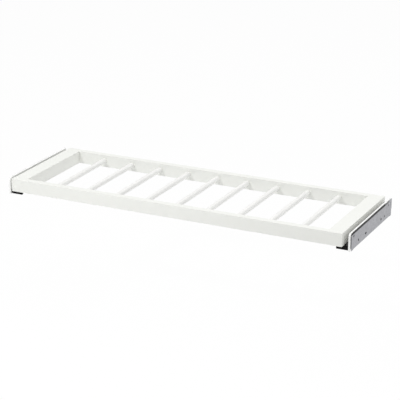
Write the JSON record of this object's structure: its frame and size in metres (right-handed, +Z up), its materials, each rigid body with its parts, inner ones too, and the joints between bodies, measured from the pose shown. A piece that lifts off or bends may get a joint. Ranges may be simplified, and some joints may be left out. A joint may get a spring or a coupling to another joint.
{
  "type": "pull-out trouser hanger",
  "caption": "White rectangular frame with round rods for hanging trousers, which pulls out on ball-guided runners screwed to the inner sides of a wardrobe.",
  "frame": {"origin": "middle of the base: half way between the runners and half way along them, at the underside of the runners' feet", "axes": "+X to the right seen from the front, +Y from the front rail to the back rail, +Z up"},
  "size_m": [0.961, 0.302, 0.048],
  "materials": {
    "white_board": "satin white foil on fibreboard",
    "white_lacquered_steel": "smooth white powder coat",
    "white_plastic": "satin moulded",
    "galvanised_steel": "galvanised sheet",
    "zinc_plated_steel": "bright zinc plate",
    "die_cast_zinc": "die-cast",
    "bearing_steel": "polished",
    "cage_steel": "pressed sheet",
    "black_steel": "black coating",
    "black_plastic": "fine moulded grain",
    "grey_plastic": "moulded",
    "beech_wood": "fluted beech"
  },
  "bodies": {
    "runners": {"left_mounting_plate": "galvanised_steel", "right_mounting_plate": "galvanised_steel", "left_cover": "white_plastic", "right_cover": "white_plastic", "left_rim_strip": "black_plastic", "right_rim_strip": "black_plastic", "left_guide_rail": "galvanised_steel", "right_guide_rail": "galvanised_steel", "left_rail_rivets": "zinc_plated_steel", "right_rail_rivets": "zinc_plated_steel", "left_rear_buffer": "grey_plastic", "right_rear_buffer": "grey_plastic"},
    "hanger": {"front_rail": "white_board", "back_rail": "white_board", "corner_dowels": "beech_wood", "cam_bolts": "zinc_plated_steel", "cam_locks": "die_cast_zinc", "hanging_rod_1": "white_lacquered_steel", "hanging_rod_2": "white_lacquered_steel", "hanging_rod_3": "white_lacquered_steel", "hanging_rod_4": "white_lacquered_steel", "hanging_rod_5": "white_lacquered_steel", "hanging_rod_6": "white_lacquered_steel", "hanging_rod_7": "white_lacquered_steel", "hanging_rod_8": "white_lacquered_steel", "hanging_rod_9": "white_lacquered_steel", "left_side_rail": "white_board", "right_side_rail": "white_board", "left_carrier": "black_steel", "right_carrier": "black_steel", "left_carrier_cap": "black_plastic", "right_carrier_cap": "black_plastic", "left_carrier_screws": "zinc_plated_steel", "right_carrier_screws": "zinc_plated_steel"},
    "left_cage": {"left_ball_cage": "cage_steel", "left_balls": "bearing_steel"},
    "right_cage": {"right_ball_cage": "cage_steel", "right_balls": "bearing_steel"}
  },
  "joints": [
    {"name": "pull_out", "type": "slide", "parent": "runners", "child": "hanger", "axis": [0, -1, 0], "range_m": [0, 0.2]},
    {"name": "left_cage_travel", "type": "slide", "parent": "runners", "child": "left_cage", "axis": [0, -1, 0], "range_m": [0, 0.1]},
    {"name": "right_cage_travel", "type": "slide", "parent": "runners", "child": "right_cage", "axis": [0, -1, 0], "range_m": [0, 0.1]}
  ],
  "couplings": [
    {"joint": "left_cage_travel", "follows": "pull_out", "ratio": 0.5},
    {"joint": "right_cage_travel", "follows": "pull_out", "ratio": 0.5}
  ]
}
